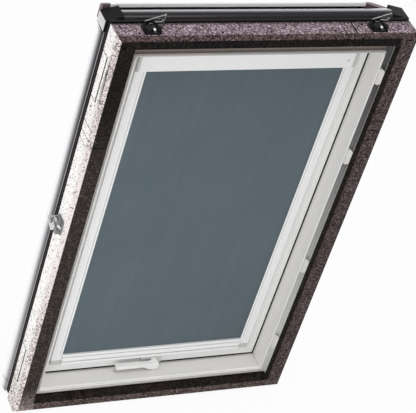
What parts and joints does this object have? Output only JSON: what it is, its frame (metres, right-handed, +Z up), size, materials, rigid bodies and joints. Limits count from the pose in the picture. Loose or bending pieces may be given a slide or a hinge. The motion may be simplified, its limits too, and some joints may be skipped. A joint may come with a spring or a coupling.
{
  "type": "roof window with blackout blind",
  "caption": "Pitched-roof window with insulated surround, white frame, top-hung sash, double glazing, metal cladding and a guided blackout blind drawn by a pull bar.",
  "frame": {"origin": "middle of the insulation block's lower face, in the plane where the installation brackets lie on the roof battens", "axes": "+X to the right seen from the room, +Y out into the open air, +Z up the roof slope"},
  "size_m": [0.833, 0.13, 1.285],
  "materials": {
    "foam": "matte, speckled bead foam",
    "frame_pvc": "satin white",
    "seal_rubber": "matt black",
    "clip_plastic": "satin white",
    "glass": "clear",
    "steel": "zinc plated",
    "cladding_metal": "semi-gloss anthracite",
    "hood_metal": "gloss pearl grey",
    "cap_metal": "satin brown",
    "black_plastic": "satin black",
    "handle_paint": "gloss white",
    "trim_grey": "satin light grey",
    "blind_aluminium": "satin white powder coat",
    "blackout_fabric": "matt blue-grey coated cloth"
  },
  "bodies": {
    "fixed_window": {"insulation_top_left": "foam", "insulation_top_right": "foam", "insulation_bottom_right": "foam", "insulation_bottom_left": "foam", "frame_jamb_left": "frame_pvc", "frame_jamb_right": "frame_pvc", "frame_sill": "frame_pvc", "frame_head": "frame_pvc", "frame_seal": "seal_rubber", "lining_clip_left_1": "clip_plastic", "lining_clip_left_2": "clip_plastic", "lining_clip_left_3": "clip_plastic", "lining_clip_left_4": "clip_plastic", "lining_clip_right_1": "clip_plastic", "lining_clip_right_2": "clip_plastic", "lining_clip_right_3": "clip_plastic", "lining_clip_right_4": "clip_plastic", "hinge_frame_left": "steel", "hinge_frame_right": "steel", "bracket_top_left": "steel", "bracket_top_right": "steel", "bracket_side": "steel", "cladding_left": "cladding_metal", "cladding_right": "cladding_metal", "cladding_bottom": "cladding_metal", "cladding_top": "cladding_metal", "top_hood": "hood_metal", "hood_cap_left": "cap_metal", "hood_cap_right": "cap_metal", "cladding_carrier": "black_plastic", "corner_left": "black_plastic", "corner_right": "black_plastic", "bracket_foot_top_left": "black_plastic", "bracket_foot_top_right": "black_plastic", "bracket_foot_side": "black_plastic"},
    "sash": {"sash_jamb_left": "frame_pvc", "sash_jamb_right": "frame_pvc", "sash_head": "frame_pvc", "sash_sill": "frame_pvc", "sash_seal": "seal_rubber", "sash_cover": "cladding_metal", "pane_inner": "glass", "pane_outer": "glass", "pane_spacer": "steel", "hinge_sash_left": "steel", "hinge_sash_right": "steel", "handle_base": "trim_grey", "blind_cassette": "blind_aluminium", "cassette_cap_left": "trim_grey", "cassette_cap_right": "trim_grey", "guide_rail_left": "blind_aluminium", "guide_rail_right": "blind_aluminium", "rail_foot_left": "trim_grey", "rail_foot_right": "trim_grey", "blind_fabric": "blackout_fabric"},
    "handle": {"handle_lever": "handle_paint"},
    "rod_left": {"lock_rod_left": "steel"},
    "rod_right": {"lock_rod_right": "steel"},
    "roller": {"blind_roller": "steel"},
    "bar": {"pull_bar": "blind_aluminium"}
  },
  "joints": [
    {"name": "sash_hinge", "type": "hinge", "parent": "fixed_window", "child": "sash", "pos_m": [0, 0.075, 1.206], "axis": [1, 0, 0], "range_deg": [0, 45]},
    {"name": "handle_turn", "type": "hinge", "parent": "sash", "child": "handle", "pos_m": [0.012, 0.0355, 0.083], "axis": [0, 1, 0], "range_deg": [0, 90]},
    {"name": "rod_left_slide", "type": "slide", "parent": "sash", "child": "rod_left", "axis": [1, 0, 0], "range_m": [0, 0.012]},
    {"name": "rod_right_slide", "type": "slide", "parent": "sash", "child": "rod_right", "axis": [-1, 0, 0], "range_m": [0, 0.012]},
    {"name": "blind_slide", "type": "slide", "parent": "sash", "child": "bar", "axis": [0, 0, 1], "range_m": [0, 0.955], "deforming": ["blind_fabric"]},
    {"name": "roller_spin", "type": "hinge", "parent": "sash", "child": "roller", "pos_m": [0, 0.03955, 1.1204], "axis": [1, 0, 0], "range_deg": [-6600, 0]}
  ],
  "couplings": [
    {"joint": "rod_left_slide", "follows": "handle_turn", "m_per_rad": 0.00763},
    {"joint": "rod_right_slide", "follows": "handle_turn", "m_per_rad": 0.00763},
    {"joint": "roller_spin", "follows": "blind_slide", "rad_per_m": -119}
  ]
}
